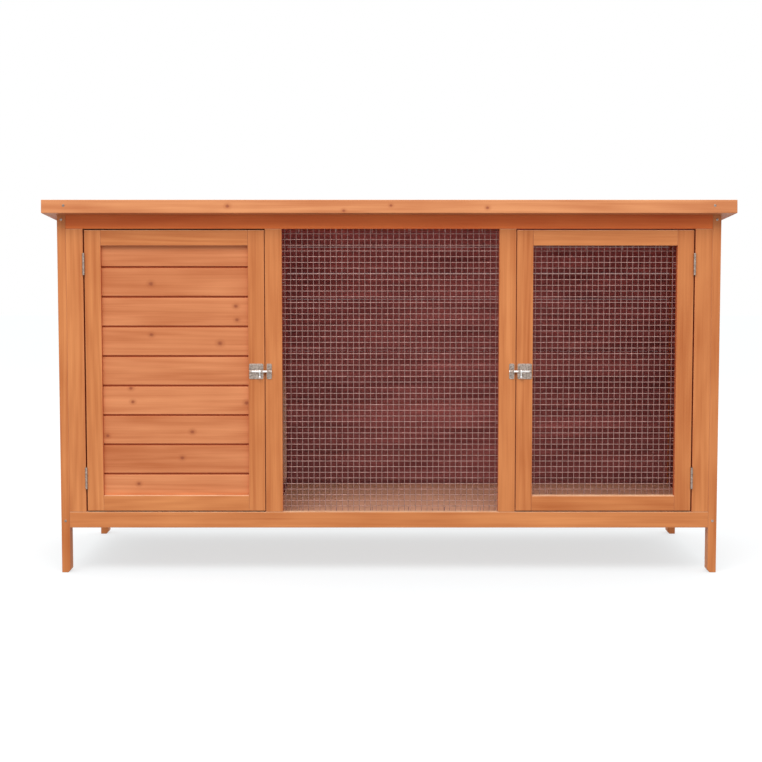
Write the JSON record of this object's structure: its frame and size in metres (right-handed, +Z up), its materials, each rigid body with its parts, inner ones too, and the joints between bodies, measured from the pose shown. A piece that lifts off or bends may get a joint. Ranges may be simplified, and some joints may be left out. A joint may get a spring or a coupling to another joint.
{
  "type": "rabbit hutch",
  "caption": "Single-storey timber rabbit hutch on four legs with a boarded nest door, a fixed mesh window, a mesh door and a sloping roof.",
  "frame": {"origin": "on the ground, under the middle of the roof, which is the hutch's whole footprint", "axes": "+X to the right as you face the doors, +Y from the front to the back, +Z up"},
  "size_m": [1.197, 0.48, 0.6539],
  "materials": {
    "stained_fir": "orange-stained softwood, satin",
    "stained_boards": "orange-stained softwood boards, satin",
    "plywood": "sealed plywood, matt",
    "roof_felt": "mineral-surfaced bitumen felt, rough",
    "galvanised_wire": "galvanised wire, dull",
    "zinc_plate": "bright zinc-plated steel"
  },
  "bodies": {
    "root": {"left_front_leg": "stained_fir", "right_front_leg": "stained_fir", "left_rear_leg": "stained_fir", "right_rear_leg": "stained_fir", "front_top_rail": "stained_fir", "front_bottom_rail": "stained_fir", "front_left_stile": "stained_fir", "front_right_stile": "stained_fir", "left_mullion": "stained_fir", "right_mullion": "stained_fir", "window_mesh_cross_wires": "galvanised_wire", "window_mesh_upright_wires": "galvanised_wire", "left_side_top_rail": "stained_fir", "left_side_bottom_rail": "stained_fir", "left_side_boards": "stained_boards", "right_side_top_rail": "stained_fir", "right_side_bottom_rail": "stained_fir", "right_side_boards": "stained_boards", "back_top_rail": "stained_fir", "back_bottom_rail": "stained_fir", "back_boards": "stained_boards", "floor_panel": "plywood", "nest_divider": "plywood", "roof_front_edging": "stained_fir", "roof_rear_edging": "stained_fir", "roof_left_edging": "stained_fir", "roof_right_edging": "stained_fir", "roof_deck": "plywood", "roof_felt": "roof_felt", "left_upper_hinge_frame_leaf": "zinc_plate", "left_upper_hinge_pin": "zinc_plate", "left_lower_hinge_frame_leaf": "zinc_plate", "left_lower_hinge_pin": "zinc_plate", "right_upper_hinge_frame_leaf": "zinc_plate", "right_upper_hinge_pin": "zinc_plate", "right_lower_hinge_frame_leaf": "zinc_plate", "right_lower_hinge_pin": "zinc_plate", "left_bolt_keeper": "zinc_plate", "right_bolt_keeper": "zinc_plate"},
    "left_door": {"left_door_hinge_stile": "stained_fir", "left_door_latch_stile": "stained_fir", "left_door_top_rail": "stained_fir", "left_door_bottom_rail": "stained_fir", "left_door_boards": "stained_boards", "left_upper_hinge_door_leaf": "zinc_plate", "left_lower_hinge_door_leaf": "zinc_plate", "left_bolt_plate": "zinc_plate"},
    "right_door": {"right_door_hinge_stile": "stained_fir", "right_door_latch_stile": "stained_fir", "right_door_top_rail": "stained_fir", "right_door_bottom_rail": "stained_fir", "right_door_mesh_cross_wires": "galvanised_wire", "right_door_mesh_upright_wires": "galvanised_wire", "right_upper_hinge_door_leaf": "zinc_plate", "right_lower_hinge_door_leaf": "zinc_plate", "right_bolt_plate": "zinc_plate"},
    "left_bolt": {"left_bolt_rod": "zinc_plate"},
    "right_bolt": {"right_bolt_rod": "zinc_plate"},
    "left_knob": {"left_bolt_knob": "zinc_plate"},
    "right_knob": {"right_bolt_knob": "zinc_plate"}
  },
  "joints": [
    {"name": "left_door_swing", "type": "hinge", "parent": "root", "child": "left_door", "pos_m": [-0.5318, -0.2121, 0.35625], "axis": [0, 0, -1], "range_deg": [0, 170]},
    {"name": "right_door_swing", "type": "hinge", "parent": "root", "child": "right_door", "pos_m": [0.5318, -0.2121, 0.35625], "axis": [0, 0, 1], "range_deg": [0, 170]},
    {"name": "left_bolt_slide", "type": "slide", "parent": "left_door", "child": "left_bolt", "axis": [-1, 0, 0], "range_m": [0, 0.0125]},
    {"name": "right_bolt_slide", "type": "slide", "parent": "right_door", "child": "right_bolt", "axis": [1, 0, 0], "range_m": [0, 0.0125]},
    {"name": "left_knob_turn", "type": "hinge", "parent": "left_bolt", "child": "left_knob", "pos_m": [-0.2259, -0.21435, 0.35625], "axis": [-1, 0, 0], "range_deg": [0, 150]},
    {"name": "right_knob_turn", "type": "hinge", "parent": "right_bolt", "child": "right_knob", "pos_m": [0.2309, -0.21435, 0.35625], "axis": [-1, 0, 0], "range_deg": [0, 150]}
  ]
}
